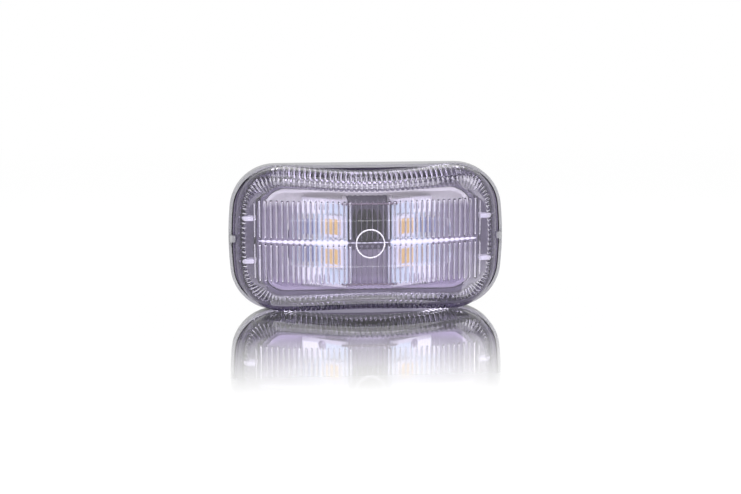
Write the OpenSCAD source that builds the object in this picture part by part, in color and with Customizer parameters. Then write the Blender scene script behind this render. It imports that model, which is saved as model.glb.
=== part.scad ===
// Compact LED marker lamp: a sealed lamp with a fluted clear lens, held in a grey bracket.
// The lamp stands upright. +Z is up and the lens faces -Y.
// The origin is the centre of the rear face, where the gasket meets the vehicle's panel.
// Depths are measured forwards from that face, so a depth of 5 lies at y = -5.

/* [Bracket] */
// Width of the bracket's outline
bracket_w = 66; // [62:0.5:76]
// Height of the bracket's outline
bracket_h = 35; // [34:0.5:42]
// Corner radius of the bracket's outline
bracket_corner_r = 11; // [9:0.5:13]
// Radius of the shallow bow of each end
end_bow_r = 75; // [55:5:200]
// Thickness of the bracket's floor
bracket_floor_t = 1.4; // [1:0.1:1.6]
// Height of the bracket's rim at its ends, floor included
rim_rise = 3.8; // [3.4:0.1:4.6]
// How much higher the rim's arch stands at the middle of its long sides
rim_arch_rise = 2.6; // [2:0.1:3]
// Thickness of the bracket's rim
rim_t = 0.7; // [0.6:0.05:1]
// Radius of the opening for the cable in the bracket
cable_opening_r = 5.2; // [4.8:0.1:6]

/* [Mounting screws] */
// Distance between the two screw holes
screw_spacing = 44; // [40:0.5:48]
// Radius of each screw hole
screw_hole_r = 2.1; // [1.6:0.1:2.4]
// Radius of each countersink at the floor's front face
countersink_r = 3.1; // [2.6:0.1:3.6]

/* [Snap hooks] */
// Width of each snap hook
hook_w = 1.6; // [1.2:0.1:2.4]
// Height of each snap hook above the rim
hook_rise = 2.0; // [1.6:0.1:2.4]
// Thickness of each snap hook's stem
hook_t = 0.6; // [0.5:0.1:0.8]
// Reach of each hook's nose over the lens
hook_nose = 0.45; // [0.3:0.05:0.6]

/* [Gasket] */
// Thickness of the foam gasket
gasket_t = 1.0; // [0.8:0.1:2]
// How far the gasket stays inside the bracket's outline
gasket_inset = 1.2; // [0.8:0.1:2]

/* [Lens] */
// Width of the bracket's ledge beyond the lens at each end
lens_end_ledge = 1.3; // [1.1:0.1:1.8]
// Width of the ledge above and below the lens
lens_edge_ledge = 0.25; // [0.15:0.05:0.4]
// Corner radius of the lens
lens_corner_r = 10.5; // [9.5:0.5:12]
// Wall thickness of the lens
lens_wall = 2.0; // [1.8:0.1:2.2]
// Height of the lens from its rear edge to its crown
lens_rise = 12.2; // [12:0.1:13.5]
// Radius of the lens's arched front
arch_r = 62; // [60:1:80]
// Radius of the edge round the front, outside
lens_fillet_r = 4.5; // [3.8:0.1:5]
// Radius of the edge round the front, inside
lens_inner_fillet_r = 1.2; // [1:0.1:1.8]
// Draft of the lens's walls outside, in degrees
lens_draft = 3; // [2:0.5:4]
// Slant of the lens's ribbed walls inside, in degrees
lens_inner_slant = 12; // [9:0.5:13]
// How far the long walls bow inwards at the middle
lens_waist = 0.65; // [0.3:0.05:0.8]
// Gap between the rim and the lens's rear edge
lens_gap = 0.2; // [0.1:0.05:0.3]

/* [Flutes] */
// Pitch of the upright flutes behind the front
front_flute_pitch = 1.3; // [1.2:0.05:1.6]
// Radius of each upright flute
front_flute_r = 0.75; // [0.7:0.05:0.95]
// How far each upright flute stands proud
front_flute_rise = 0.36; // [0.2:0.02:0.38]
// Height of the fluted field, both rows together
front_flute_h = 19.6; // [17:0.2:20]
// Plain break between the upper and the lower row of flutes
flute_break = 1.2; // [0.8:0.1:2]
// Length of the bevel at each flute's ends
flute_bevel = 0.5; // [0.3:0.05:0.8]
// Pitch of the flutes round the walls
wall_flute_pitch = 1.2; // [1.1:0.05:1.6]
// How far each wall flute stands proud
wall_flute_rise = 0.28; // [0.15:0.01:0.3]

/* [Release slots] */
// Length of each release slot along the lens's long edges
slot_length = 40; // [30:1:42]
// Height of each slot at its middle
slot_rise = 3.6; // [3.2:0.1:3.7]
// Distance between the two locating tabs in each slot
tab_spacing = 18.8; // [14:0.2:22]
// Width of each locating tab
tab_w = 2.6; // [2:0.1:3.4]
// Thickness of each locating tab
tab_t = 1.1; // [0.8:0.1:1.2]

/* [Lens details] */
// Distance between the two gussets inside each end wall
gusset_spacing = 10.2; // [9:0.2:12]
// Thickness of each gusset
gusset_t = 1.0; // [0.8:0.1:1.4]
// Length of each gusset inwards from the end wall
gusset_length = 2.9; // [2.6:0.1:3.1]
// Width of the raised pad on the front
pad_w = 38.4; // [35:0.2:41]
// Height of the raised pad
pad_h = 10.8; // [9:0.2:12]
// Corner radius of the raised pad
pad_corner_r = 1.5; // [1:0.1:2.5]
// How far the pad stands proud
pad_rise = 0.12; // [0.1:0.01:0.2]
// Outer radius of the plain ring on the pad
ring_r = 3.5; // [3:0.1:4.4]
// Width of the ring's bead
ring_bead = 0.45; // [0.35:0.05:0.6]

/* [Rear housing] */
// Gap between the housing and the bracket
housing_gap = 0.3; // [0.2:0.05:0.4]
// Thickness of the housing's floor
housing_floor_t = 1.2; // [1:0.1:1.4]
// Thickness of the housing's upstanding wall
spigot_t = 1.0; // [0.8:0.1:1.2]
// Height of the upstanding wall above the lens's rear edge
spigot_rise = 3.8; // [3.7:0.05:3.9]
// Gap between the upstanding wall and the lens's flutes
spigot_gap = 0.25; // [0.2:0.05:0.35]
// Thickness of the rubber seal round the upstanding wall
seal_t = 0.5; // [0.4:0.05:0.6]
// Height of the rubber seal
seal_h = 2.0; // [1.6:0.1:2.2]
// Gap between the seal and the lens's gussets
seal_gap = 0.15; // [0.1:0.05:0.2]

/* [Cable grommet] */
// Height of the cable's axis above the lamp's middle
inlet_z = 2.5; // [1.5:0.1:3]
// Radius of the cable's bore
inlet_bore_r = 2.2; // [1.8:0.1:2.4]
// Radius of the grommet's body
grommet_r = 3.3; // [3:0.1:3.5]
// Radius of the grommet's two flanges
grommet_flange_r = 4.1; // [3.9:0.1:4.3]
// Thickness of the grommet's inner flange
grommet_flange_t = 0.9; // [0.7:0.1:1]

/* [Reflector] */
// Thickness of the reflector's floor and walls
reflector_t = 0.9; // [0.8:0.05:1]
// Height of the reflector's outer wall
reflector_rise = 4.4; // [3.6:0.1:5]
// Gap between the reflector and the housing
reflector_gap = 0.2; // [0.1:0.05:0.3]
// Width of the channel between the two boards
channel_w = 10; // [9:0.2:11]
// Height of the wire opening in the channel's floor
wire_opening_h = 13; // [10:0.5:14]
// Thickness of the ribs under each board
rib_t = 2.2; // [2:0.1:2.6]

/* [Boards] */
// Outward tilt of each board in degrees
board_tilt = 37; // [34:1:38]
// Length of each board down its slope
board_l = 12.4; // [12:0.1:12.6]
// Gap between each board's lower end and the reflector's wall
board_low_gap = 0.3; // [0.2:0.05:0.4]
// Gap between each board's upper end and the reflector's wall
board_high_gap = 1.4; // [1.2:0.1:1.8]
// Thickness of each board
board_t = 1.0; // [0.8:0.1:1.2]
// Depth of the ridge where the slopes start
ridge_d = 12.5; // [12.3:0.1:12.6]
// Radius of each staking pin
stake_r = 0.7; // [0.5:0.05:0.8]
// Gap round each staking pin in its board
stake_gap = 0.05; // [0.02:0.01:0.1]
// Radius of each staked head
stake_head_r = 1.15; // [1:0.05:1.3]
// Distance of the staking pins from each board's inner end
stake_u = 6.75; // [6.6:0.05:6.9]
// Distance of the staking pins from each board's long edges
stake_edge = 1.5; // [1.3:0.1:1.8]

/* [LEDs] */
// Side of each LED's body
led_side = 5.0; // [4:0.1:5.2]
// Height of each LED's body
led_t = 1.2; // [0.8:0.1:1.3]
// Side of each LED's light window
led_window = 3.6; // [2.8:0.1:3.8]
// Depth of each LED's light window
led_cup = 0.5; // [0.3:0.05:0.6]
// Distance between the LEDs on each board
led_spacing = 7.1; // [6.6:0.1:7.6]
// Distance of the LEDs from each board's inner end
led_u = 2.7; // [2.6:0.05:2.9]
// Width of each LED's lead
lead_w = 0.8; // [0.6:0.1:1]
// Pitch of each LED's leads
lead_pitch = 1.5; // [1.3:0.1:1.6]
// Foot length of each LED's lead
lead_foot = 0.5; // [0.3:0.1:0.6]

/* [Board parts] */
// Radius of each resistor
resistor_r = 1.1; // [0.8:0.1:1.2]
// Length of each resistor, caps included
resistor_l = 5.9; // [5:0.1:6]
// Length of each resistor's end cap
resistor_cap = 1.1; // [0.8:0.1:1.4]
// Distance of the resistors from each board's inner end
resistor_u = 9.6; // [9.3:0.1:10.2]
// Distance between the two resistors of one board
resistor_spacing = 6.6; // [6.2:0.1:7]
// Length of the protection diode
diode_l = 4.3; // [3.6:0.1:4.6]
// Width of the protection diode
diode_w = 2.6; // [2:0.1:2.8]
// Height of the protection diode
diode_t = 2.0; // [1.6:0.1:2.2]
// Length of the filter capacitor
capacitor_l = 3.2; // [2.8:0.1:3.6]
// Width of the filter capacitor
capacitor_w = 2.5; // [2:0.1:2.6]
// Height of the filter capacitor
capacitor_t = 1.6; // [1.2:0.1:1.8]
// Distance of the diode and the capacitor from each board's inner end
rear_part_u = 4.6; // [4.4:0.1:5.2]
// Radius of the link wires
wire_r = 0.25; // [0.2:0.05:0.3]
// Solder between each link wire and its board
wire_seat = 0.05; // [0.03:0.01:0.1]
// Distance of the link wires from the boards' long edges
wire_edge = 0.8; // [0.6:0.1:1]
// Length of each wire's soldered end
wire_end = 0.7; // [0.5:0.1:0.9]
// How far each wire's bend stands off the board's inner end
wire_bend = 0.2; // [0.15:0.05:0.3]
// Radius of the supply terminals
terminal_r = 0.5; // [0.4:0.05:0.6]
// Length of the supply terminals
terminal_l = 1.8; // [1.4:0.1:2]
// Distance between the supply terminals
terminal_spacing = 5; // [4:0.2:6]
// Distance of the supply terminals from the board's inner end
terminal_u = 8.4; // [8:0.1:9]

/* [Hidden] */

// How finely curves are drawn
bow_steps = 4;        // steps along the bow of each quarter of a smooth outline
corner_steps = 12;    // steps round its corner
side_steps = 9;       // steps along its long side
fillet_steps = 5;     // rings in the lens's edge round
flute_steps = 3;      // facets across one wall flute
flute_fn = 16;
fine_fn = 96;
arch_fn = 360;
overlap = 0.4;        // how far fused shapes reach into each other
through = 1;          // how far a cutter runs past what it cuts

// Depths, from the rear face forwards
bracket_rear_d = gasket_t;
bracket_floor_d = bracket_rear_d + bracket_floor_t;
rim_front_d = bracket_rear_d + rim_rise;
housing_rear_d = bracket_floor_d + housing_gap;
housing_floor_d = housing_rear_d + housing_floor_t;
lens_rear_d = rim_front_d + lens_gap;
spigot_front_d = lens_rear_d + spigot_rise;
lens_front_d = lens_rear_d + lens_rise;
reflector_rear_d = housing_floor_d;
reflector_floor_d = reflector_rear_d + reflector_t;

// Outlines in the front view: [width, height, corner radius, bow radius]
bracket_outline = [bracket_w, bracket_h, bracket_corner_r, end_bow_r];
lens_outline = [
    bracket_w - 2 * lens_end_ledge, bracket_h - 2 * lens_edge_ledge, lens_corner_r, end_bow_r
];
housing_outline = inset_outline(bracket_outline, rim_t + housing_gap);
draft_at_spigot = tan(lens_inner_slant) * spigot_rise;
spigot_inset = lens_wall + lens_waist + wall_flute_rise + draft_at_spigot + spigot_gap;
gusset_room = max(0, lens_wall + gusset_length + seal_gap + seal_t - spigot_inset);
spigot_outline = end_inset(inset_outline(lens_outline, spigot_inset), gusset_room);
reflector_outline = inset_outline(spigot_outline, spigot_t + reflector_gap);

// Places in the front view
ridge_x = channel_w / 2;
ramp_run = board_l * cos(board_tilt);
board_room = reflector_outline[1] / 2 - reflector_t;
board_h = 2 * board_room - board_low_gap - board_high_gap;
board_mid_z = (board_low_gap - board_high_gap) / 2;
stake_reach = board_h / 2 - stake_edge;
stake_places = [board_mid_z - stake_reach, board_mid_z + stake_reach];
arch_axis_d = lens_front_d - arch_r;
slot_r = (pow(slot_length / 2, 2) + pow(slot_rise, 2)) / (2 * slot_rise);
slot_axis_d = lens_rear_d + slot_rise - slot_r;
rim_arch_r = (pow(slot_length / 2, 2) + pow(rim_arch_rise, 2)) / (2 * rim_arch_rise);
rim_axis_d = rim_front_d + rim_arch_rise - rim_arch_r;

// Outlines
function inset_outline(o, t) = [o[0] - 2 * t, o[1] - 2 * t, o[2] - t, o[3] - t];
function end_inset(o, t) = [o[0] - 2 * t, o[1], o[2], o[3]];
function bow_x(o) = o[0] / 2 - o[3];
function corner_z(o) = o[1] / 2 - o[2];
function corner_x(o) = bow_x(o) + sqrt(pow(o[3] - o[2], 2) - pow(corner_z(o), 2));
function bow_angle(o) = atan2(corner_z(o), corner_x(o) - bow_x(o));
function arc_length(r, angle) = r * angle * PI / 180;
function bow_length(o) = arc_length(o[3], bow_angle(o));
function corner_length(o) = arc_length(o[2], 90 - bow_angle(o));
function quarter_length(o) = bow_length(o) + corner_length(o) + corner_x(o);

// A point of an outline's upper right quarter, at a length s from the middle of the right end:
// [x, z, normal x, normal z]
function on_bow(o, a) = [bow_x(o) + o[3] * cos(a), o[3] * sin(a), cos(a), sin(a)];
function on_corner(o, a) = [corner_x(o) + o[2] * cos(a), corner_z(o) + o[2] * sin(a), cos(a), sin(a)];
function on_quarter(o, s) =
    s < bow_length(o) ? on_bow(o, bow_angle(o) * s / bow_length(o))
    : s < bow_length(o) + corner_length(o)
        ? on_corner(o, bow_angle(o) + (90 - bow_angle(o)) * (s - bow_length(o)) / corner_length(o))
    : [max(0, quarter_length(o) - s), o[1] / 2, 0, 1];

// The whole outline, anticlockwise from the middle of the right end: a smooth one with its own steps for
// the bow, the corner and the side, or one of n even steps in each quarter
function side_point(o, t) = [corner_x(o) * (1 - t), o[1] / 2, 0, 1];
function smooth_quarter(o) = concat(
    [for (i = [0:bow_steps - 1]) on_bow(o, bow_angle(o) * i / bow_steps)],
    [for (i = [0:corner_steps - 1]) on_corner(o, bow_angle(o) + (90 - bow_angle(o)) * i / corner_steps)],
    [for (i = [0:side_steps]) side_point(o, i / side_steps)]
);
function quarter_points(o, n) = [for (i = [0:n]) on_quarter(o, quarter_length(o) * i / n)];
function mirrored_x(p) = [-p[0], p[1], -p[2], p[3]];
function mirrored_z(p) = [p[0], -p[1], p[2], -p[3]];
function half_points(q) = concat(q, [for (i = [len(q) - 2:-1:0]) mirrored_x(q[i])]);
function whole_points(h) = concat(h, [for (i = [len(h) - 2:-1:1]) mirrored_z(h[i])]);
function outline_points(o) = whole_points(half_points(smooth_quarter(o)));

// The lens's front: an arch about an upright axis
function front_d(x) = arch_axis_d + sqrt(arch_r * arch_r - x * x);
function waist(p) =
    let (t = 1 - pow(p[0] / (slot_length / 2), 2)) t > 0 ? lens_waist * t * t * abs(p[3]) : 0;
function moved_in(p, t) = [p[0] - p[2] * t, p[1] - p[3] * t];
function at_depth(q, d) = [q[0], -d, q[1]];

// One ring of a domed shell that lies t inside the lens's outer face and has an edge round of radius r.
// The ring is at the angle a of the round, and a below 0 gives the ring at the rear depth.
function round_r(p, r, t, rear) = min(r, front_d(p[0]) - t - rear);
function wall_draft(p, r, t, rear) =
    tan(lens_draft) * (front_d(p[0]) - t - round_r(p, r, t, rear) - rear);
function dome_point(p, a, r, t, rear) =
    let (rr = round_r(p, r, t, rear))
    a < 0 ? at_depth(moved_in(p, t + waist(p)), rear)
    : let (q = moved_in(p, t + waist(p) + wall_draft(p, r, t, rear) + rr * (1 - cos(a))))
        at_depth(q, front_d(q[0]) - t - rr * (1 - sin(a)));
function dome_ring(a, r, t, rear) =
    [for (p = outline_points(lens_outline)) dome_point(p, a, r, t, rear)];

// One ring of the fluted wall: ribs that stand proud inwards, with the pitch rounded to fit each quarter
wall_flutes = round(quarter_length(lens_outline) / wall_flute_pitch);
function rib(i) = wall_flute_rise * sin(180 * (i % flute_steps) / flute_steps);
function fluted_quarter(d) =
    let (n = wall_flutes * flute_steps, q = quarter_points(lens_outline, n))
    [for (i = [0:n])
        let (t = lens_wall + waist(q[i]) + tan(lens_inner_slant) * (d - lens_rear_d) + rib(i))
        concat(moved_in(q[i], t), [q[i][2], q[i][3]])];
function fluted_ring(d) = [for (p = whole_points(half_points(fluted_quarter(d)))) at_depth(p, d)];

// A solid through rings of equally many points. A ladder closes its ends across the height, which keeps
// an arch true. Without it they are closed from their middles.
module loft(rings, ladder = true) {
    n = len(rings[0]);
    last = len(rings) - 1;
    flat = [for (r = rings) each r];
    middles = [[0, rings[0][0][1], 0], [0, rings[last][0][1], 0]];
    top = last * n;
    sides = [for (k = [0:last - 1], i = [0:n - 1])
        let (a = k * n + i, b = k * n + (i + 1) % n)
        each [[a, a + n, b + n], [a, b + n, b]]];
    ends = ladder
        ? [for (i = [0:n / 2 - 1])
            let (j = (n - i) % n, m = n - i - 1)
            each [
                if (i > 0) [i, i + 1, j],
                if (i < n / 2 - 1) [i + 1, m, j],
                if (i > 0) [top + i, top + j, top + i + 1],
                if (i < n / 2 - 1) [top + i + 1, top + j, top + m]
            ]]
        : [for (i = [0:n - 1])
            let (j = (i + 1) % n, c = len(flat))
            each [[c, i, j], [c + 1, top + j, top + i]]];
    polyhedron(ladder ? flat : concat(flat, middles), concat(sides, ends), convexity = 6);
}

// A front-view shape drawn in X and Z, made solid between two depths
module between(d0, d1) {
    translate([0, -d0, 0])
        rotate([90, 0, 0])
            linear_extrude(d1 - d0)
                children();
}

module filled(o) {
    polygon([for (p = outline_points(o)) [p[0], p[1]]]);
}

module band(outer, inner) {
    difference() {
        filled(outer);
        filled(inner);
    }
}

// A round bar along Y, for holes and pins
module bar(x, z, r, d0, d1) {
    translate([x, -d0, z])
        rotate([90, 0, 0])
            cylinder(r = r, h = d1 - d0, $fn = fine_fn);
}

// The frame of a board: X runs down its slope and -Y stands out of its front
module on_board(side) {
    mirror([side == "left" ? 1 : 0, 0, 0])
        translate([ridge_x, -ridge_d, 0])
            rotate([0, 0, board_tilt])
                children();
}

// A block centred at a place on a board, standing out of its front
module front_block(u, z, size_u, size_z, t0, t1) {
    translate([u - size_u / 2, -board_t - t1, z - size_z / 2])
        cube([size_u, t1 - t0, size_z]);
}

// Gasket
module mounting_gasket() {
    color([0.1, 0.1, 0.1])
        difference() {
            between(0, gasket_t)
                filled(inset_outline(bracket_outline, gasket_inset));
            for (side = [-1, 1])
                bar(side * screw_spacing / 2, 0, screw_hole_r, -through, gasket_t + through);
            bar(0, inlet_z, cable_opening_r, -through, gasket_t + through);
        }
}

// Bracket
module snap_hook() {
    stem_x = bracket_w / 2 - rim_t - housing_gap;
    nose_x = lens_outline[0] / 2 - hook_nose;
    nose_d = rim_front_d + hook_rise;
    translate([0, 0, -hook_w / 2])
        linear_extrude(hook_w)
            polygon([
                [stem_x + housing_gap / 2, -(rim_front_d - overlap)],
                [stem_x + housing_gap / 2 + hook_t, -(rim_front_d - overlap)],
                [stem_x + housing_gap / 2 + hook_t, -(nose_d - hook_nose)],
                [stem_x + housing_gap / 2, -nose_d],
                [nose_x, -(nose_d - hook_nose)],
                [stem_x + housing_gap / 2, -(nose_d - 2 * hook_nose)]
            ]);
}

module countersunk_hole(x) {
    bar(x, 0, screw_hole_r, bracket_rear_d - through, bracket_floor_d + through);
    translate([x, -bracket_floor_d - through / 100, 0])
        rotate([-90, 0, 0])
            cylinder(r1 = countersink_r, r2 = screw_hole_r, h = countersink_r - screw_hole_r, $fn = fine_fn);
}

module mounting_bracket() {
    color([0.62, 0.63, 0.64]) {
        difference() {
            union() {
                between(bracket_rear_d, rim_front_d)
                    filled(bracket_outline);
                intersection() {
                    between(rim_front_d - overlap, rim_front_d + rim_arch_rise + through)
                        filled(bracket_outline);
                    translate([0, -rim_axis_d, -bracket_h])
                        cylinder(r = rim_arch_r, h = 2 * bracket_h, $fn = arch_fn);
                }
            }
            between(bracket_floor_d, rim_front_d + rim_arch_rise + 2 * through)
                filled(inset_outline(bracket_outline, rim_t));
            countersunk_hole(-screw_spacing / 2);
            countersunk_hole(screw_spacing / 2);
            bar(0, inlet_z, cable_opening_r, bracket_rear_d - through, bracket_floor_d + through);
        }
        snap_hook();
        mirror([1, 0, 0])
            snap_hook();
    }
}

// Rear housing and its seal
module rear_housing() {
    color([0.09, 0.09, 0.1])
        difference() {
            union() {
                between(housing_rear_d, lens_rear_d)
                    filled(housing_outline);
                between(lens_rear_d - overlap, spigot_front_d)
                    filled(spigot_outline);
            }
            between(housing_floor_d, spigot_front_d + through)
                filled(inset_outline(spigot_outline, spigot_t));
            bar(0, inlet_z, grommet_r, housing_rear_d - through, housing_floor_d + through);
        }
}

module housing_seal() {
    color([0.06, 0.06, 0.06])
        between(lens_rear_d, lens_rear_d + seal_h)
            band(inset_outline(spigot_outline, -seal_t), spigot_outline);
}

// Cable grommet: an inner flange, a body through the housing's floor and a rear flange
module cable_grommet() {
    color([0.12, 0.12, 0.12])
        difference() {
            union() {
                bar(0, inlet_z, grommet_flange_r, housing_floor_d, housing_floor_d + grommet_flange_t);
                bar(0, inlet_z, grommet_r, housing_rear_d - overlap, housing_floor_d + overlap);
                bar(0, inlet_z, grommet_flange_r, bracket_rear_d, housing_rear_d);
            }
            bar(0, inlet_z, inlet_bore_r, bracket_rear_d - through, housing_floor_d + grommet_flange_t + through);
        }
}

// Reflector
module ramp_rib(z) {
    translate([0, 0, z - rib_t / 2])
        linear_extrude(rib_t)
            polygon([
                [ridge_x, -ridge_d],
                [ridge_x, -(reflector_floor_d - overlap)],
                [ridge_x + ramp_run, -(reflector_floor_d - overlap)],
                [ridge_x + ramp_run, -(ridge_d - ramp_run * tan(board_tilt))]
            ]);
}

module channel_wall() {
    translate([0, 0, board_mid_z - board_h / 2])
        linear_extrude(board_h)
            polygon([
                [ridge_x, -ridge_d],
                [ridge_x, -(reflector_floor_d - overlap)],
                [ridge_x + reflector_t, -(reflector_floor_d - overlap)],
                [ridge_x + reflector_t, -(ridge_d - reflector_t * tan(board_tilt))]
            ]);
}

module stake(z) {
    translate([stake_u, overlap, z])
        rotate([90, 0, 0])
            cylinder(r = stake_r, h = board_t + 2 * overlap, $fn = fine_fn);
    translate([stake_u, -board_t, z])
        rotate([90, 0, 0])
            cylinder(r1 = stake_head_r, r2 = stake_r, h = overlap, $fn = fine_fn);
}

module reflector() {
    floor_outline = reflector_outline;
    color([0.78, 0.77, 0.8]) {
        difference() {
            between(reflector_rear_d, reflector_rear_d + reflector_rise)
                filled(floor_outline);
            between(reflector_floor_d, reflector_rear_d + reflector_rise + through)
                filled(inset_outline(floor_outline, reflector_t));
            translate([-ridge_x, -reflector_floor_d - through, board_mid_z + board_h / 2 - wire_opening_h])
                cube([channel_w, reflector_t + 2 * through, wire_opening_h]);
        }
        for (side = [0, 1])
            mirror([side, 0, 0]) {
                for (z = stake_places)
                    ramp_rib(z);
                channel_wall();
            }
        for (side = ["left", "right"], z = stake_places)
            on_board(side)
                stake(z);
    }
}

// Boards
module led_board(side) {
    color([0.93, 0.94, 0.96])
        on_board(side)
            difference() {
                translate([0, -board_t, board_mid_z - board_h / 2])
                    cube([board_l, board_t, board_h]);
                for (z = stake_places)
                    translate([stake_u, through, z])
                        rotate([90, 0, 0])
                            cylinder(r = stake_r + stake_gap, h = board_t + 2 * through, $fn = fine_fn);
            }
}

// LEDs
module led_body(side, z) {
    color([0.95, 0.95, 0.92])
        on_board(side)
            difference() {
                front_block(led_u, z, led_side, led_side, 0, led_t);
                front_block(led_u, z, led_window, led_window, led_t - led_cup, led_t + through);
            }
}

module led_gel(side, z) {
    color([0.93, 0.76, 0.2])
        on_board(side)
            front_block(led_u, z, led_window, led_window, led_t - led_cup, led_t);
}

module led_leads() {
    color([0.8, 0.8, 0.8])
        for (side = ["left", "right"], z = [-led_spacing / 2, led_spacing / 2], end = [-1, 1], i = [-1:1])
            on_board(side)
                front_block(led_u + i * lead_pitch, z + end * (led_side + lead_foot) / 2, lead_w, lead_foot, 0, led_t / 3);
}

// Resistors: a round body between two metal caps
module resistor_bar(side, z, r, z0, z1) {
    on_board(side)
        translate([resistor_u, -board_t - resistor_r, z + z0])
            cylinder(r = r, h = z1 - z0, $fn = fine_fn);
}

module resistor_body(side, z) {
    reach = resistor_l / 2 - resistor_cap;
    color([0.36, 0.42, 0.62])
        resistor_bar(side, z, resistor_r - resistor_skin, -reach, reach);
}

resistor_skin = 0.12;
resistor_places = [["left", resistor_spacing / 2], ["left", -resistor_spacing / 2], ["right", resistor_spacing / 2]];

module resistor_caps() {
    reach = resistor_l / 2;
    color([0.78, 0.78, 0.78])
        for (p = resistor_places) {
            resistor_bar(p[0], p[1], resistor_r, -reach, resistor_cap - reach);
            resistor_bar(p[0], p[1], resistor_r, reach - resistor_cap, reach);
        }
}

// Parts behind the boards
module rear_block(size_u, size_z, t) {
    translate([rear_part_u - size_u / 2, 0, -size_z / 2])
        cube([size_u, t, size_z]);
}

module protection_diode() {
    color([0.15, 0.15, 0.16])
        on_board("right")
            rear_block(diode_w, diode_l, diode_t);
}

module filter_capacitor() {
    color([0.72, 0.6, 0.42])
        on_board("left")
            rear_block(capacitor_w, capacitor_l, capacitor_t);
}

module supply_terminals() {
    color([0.8, 0.78, 0.7])
        on_board("left")
            for (z = [-terminal_spacing / 2, terminal_spacing / 2])
                translate([terminal_u, 0, z])
                    rotate([-90, 0, 0])
                        cylinder(r = terminal_r, h = terminal_l, $fn = fine_fn);
}

// Link wires: a straight run between two bends, and a soldered end along each board
wire_lift = board_t + wire_seat + wire_r;
wire_reach = board_h / 2 - wire_edge;

module wire_run(from, to, z) {
    hull()
        for (p = [from, to])
            translate([p[0], -p[1], z])
                sphere(r = wire_r, $fn = 14);
}

function over_board(u) = [
    ridge_x + u * cos(board_tilt) + wire_lift * sin(board_tilt),
    ridge_d - u * sin(board_tilt) + wire_lift * cos(board_tilt)
];

module link_wire(z) {
    bend = over_board(-wire_bend);
    end = over_board(wire_end);
    color([0.2, 0.18, 0.2]) {
        wire_run([-bend[0], bend[1]], bend, z);
        wire_run(bend, end, z);
        mirror([1, 0, 0])
            wire_run(bend, end, z);
    }
}

// Lens
dome_angles = [for (i = [0:fillet_steps]) 90 * i / fillet_steps];

module lens_outside() {
    loft(concat(
        [dome_ring(-1, lens_fillet_r, 0, lens_rear_d)],
        [for (a = dome_angles) dome_ring(a, lens_fillet_r, 0, lens_rear_d)]
    ));
}

// The smooth hollow is a little wide at its walls, so that the fluted wall lies inside it there
smooth_margin = 0.06;
function hollow_ring(a) =
    [for (p = outline_points(inset_outline(lens_outline, -smooth_margin)))
        dome_point(p, a, lens_inner_fillet_r, lens_wall, lens_rear_d - through)];

module smooth_hollow() {
    loft(concat([hollow_ring(-1)], [for (a = dome_angles) hollow_ring(a)]));
}

module fluted_hollow() {
    loft([fluted_ring(lens_rear_d - through), fluted_ring(lens_front_d)], ladder = false);
}

module front_flute(x, z) {
    d = front_d(x) - lens_wall + front_flute_r - front_flute_rise;
    translate([x, -d, z])
        hull() {
            flute_core(front_flute_r, flute_row_h - 2 * flute_bevel);
            flute_core(front_flute_r - front_flute_rise, flute_row_h);
        }
}

module flute_core(r, h) {
    translate([0, 0, -h / 2])
        cylinder(r = r, h = h, $fn = flute_fn);
}

flute_reach = lens_outline[0] / 2 - lens_wall - lens_inner_fillet_r - front_flute_pitch;
flutes_each_side = floor(flute_reach / front_flute_pitch);
flute_row_h = (front_flute_h - flute_break) / 2;
flute_row_z = (flute_row_h + flute_break) / 2;

module release_slot() {
    inner_z = lens_outline[1] / 2 - spigot_inset;
    intersection() {
        translate([0, -slot_axis_d, inner_z])
            cylinder(r = slot_r, h = spigot_inset + through, $fn = arch_fn);
        translate([-slot_length / 2 - through, -lens_front_d, inner_z])
            cube([slot_length + 2 * through, lens_front_d - lens_rear_d + 2 * through, spigot_inset + through]);
    }
}

module locating_tab() {
    x = tab_spacing / 2;
    edge_d = slot_axis_d + sqrt(slot_r * slot_r - x * x);
    foot_z = lens_outline[1] / 2 - lens_wall - lens_waist / 2;
    translate([x - tab_w / 2, -edge_d - overlap, foot_z])
        cube([tab_w, edge_d + overlap - lens_rear_d, tab_t]);
}

module gusset() {
    inner_x = lens_outline[0] / 2 - lens_wall;
    translate([inner_x - gusset_length, -lens_front_d, gusset_spacing / 2 - gusset_t / 2])
        cube([gusset_length + overlap, lens_rise - overlap, gusset_t]);
}

module hook_notch() {
    side_gap = housing_gap / 2;
    nose_x = lens_outline[0] / 2 - hook_nose;
    translate([nose_x - side_gap, -(rim_front_d + hook_rise + side_gap), -hook_w / 2 - side_gap])
        cube([hook_nose + 2 * side_gap + through, hook_rise + side_gap + through, hook_w + 2 * side_gap]);
}

module raised_pad() {
    corner = [pad_w / 2 - pad_corner_r, pad_h / 2 - pad_corner_r];
    intersection() {
        translate([0, -arch_axis_d, -pad_h])
            cylinder(r = arch_r + pad_rise, h = 2 * pad_h, $fn = arch_fn);
        between(lens_rear_d + spigot_rise, lens_front_d + through)
            hull()
                for (x = [-corner[0], corner[0]], z = [-corner[1], corner[1]])
                    translate([x, z])
                        circle(r = pad_corner_r, $fn = flute_fn);
    }
}

module plain_ring() {
    translate([0, -lens_front_d + overlap, 0])
        rotate([90, 0, 0])
            rotate_extrude($fn = 64)
                translate([ring_r - ring_bead, 0])
                    square([ring_bead, overlap + 2 * pad_rise]);
}

module each_quarter() {
    for (mx = [0, 1], mz = [0, 1])
        mirror([mx, 0, 0])
            mirror([0, 0, mz])
                children();
}

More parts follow.
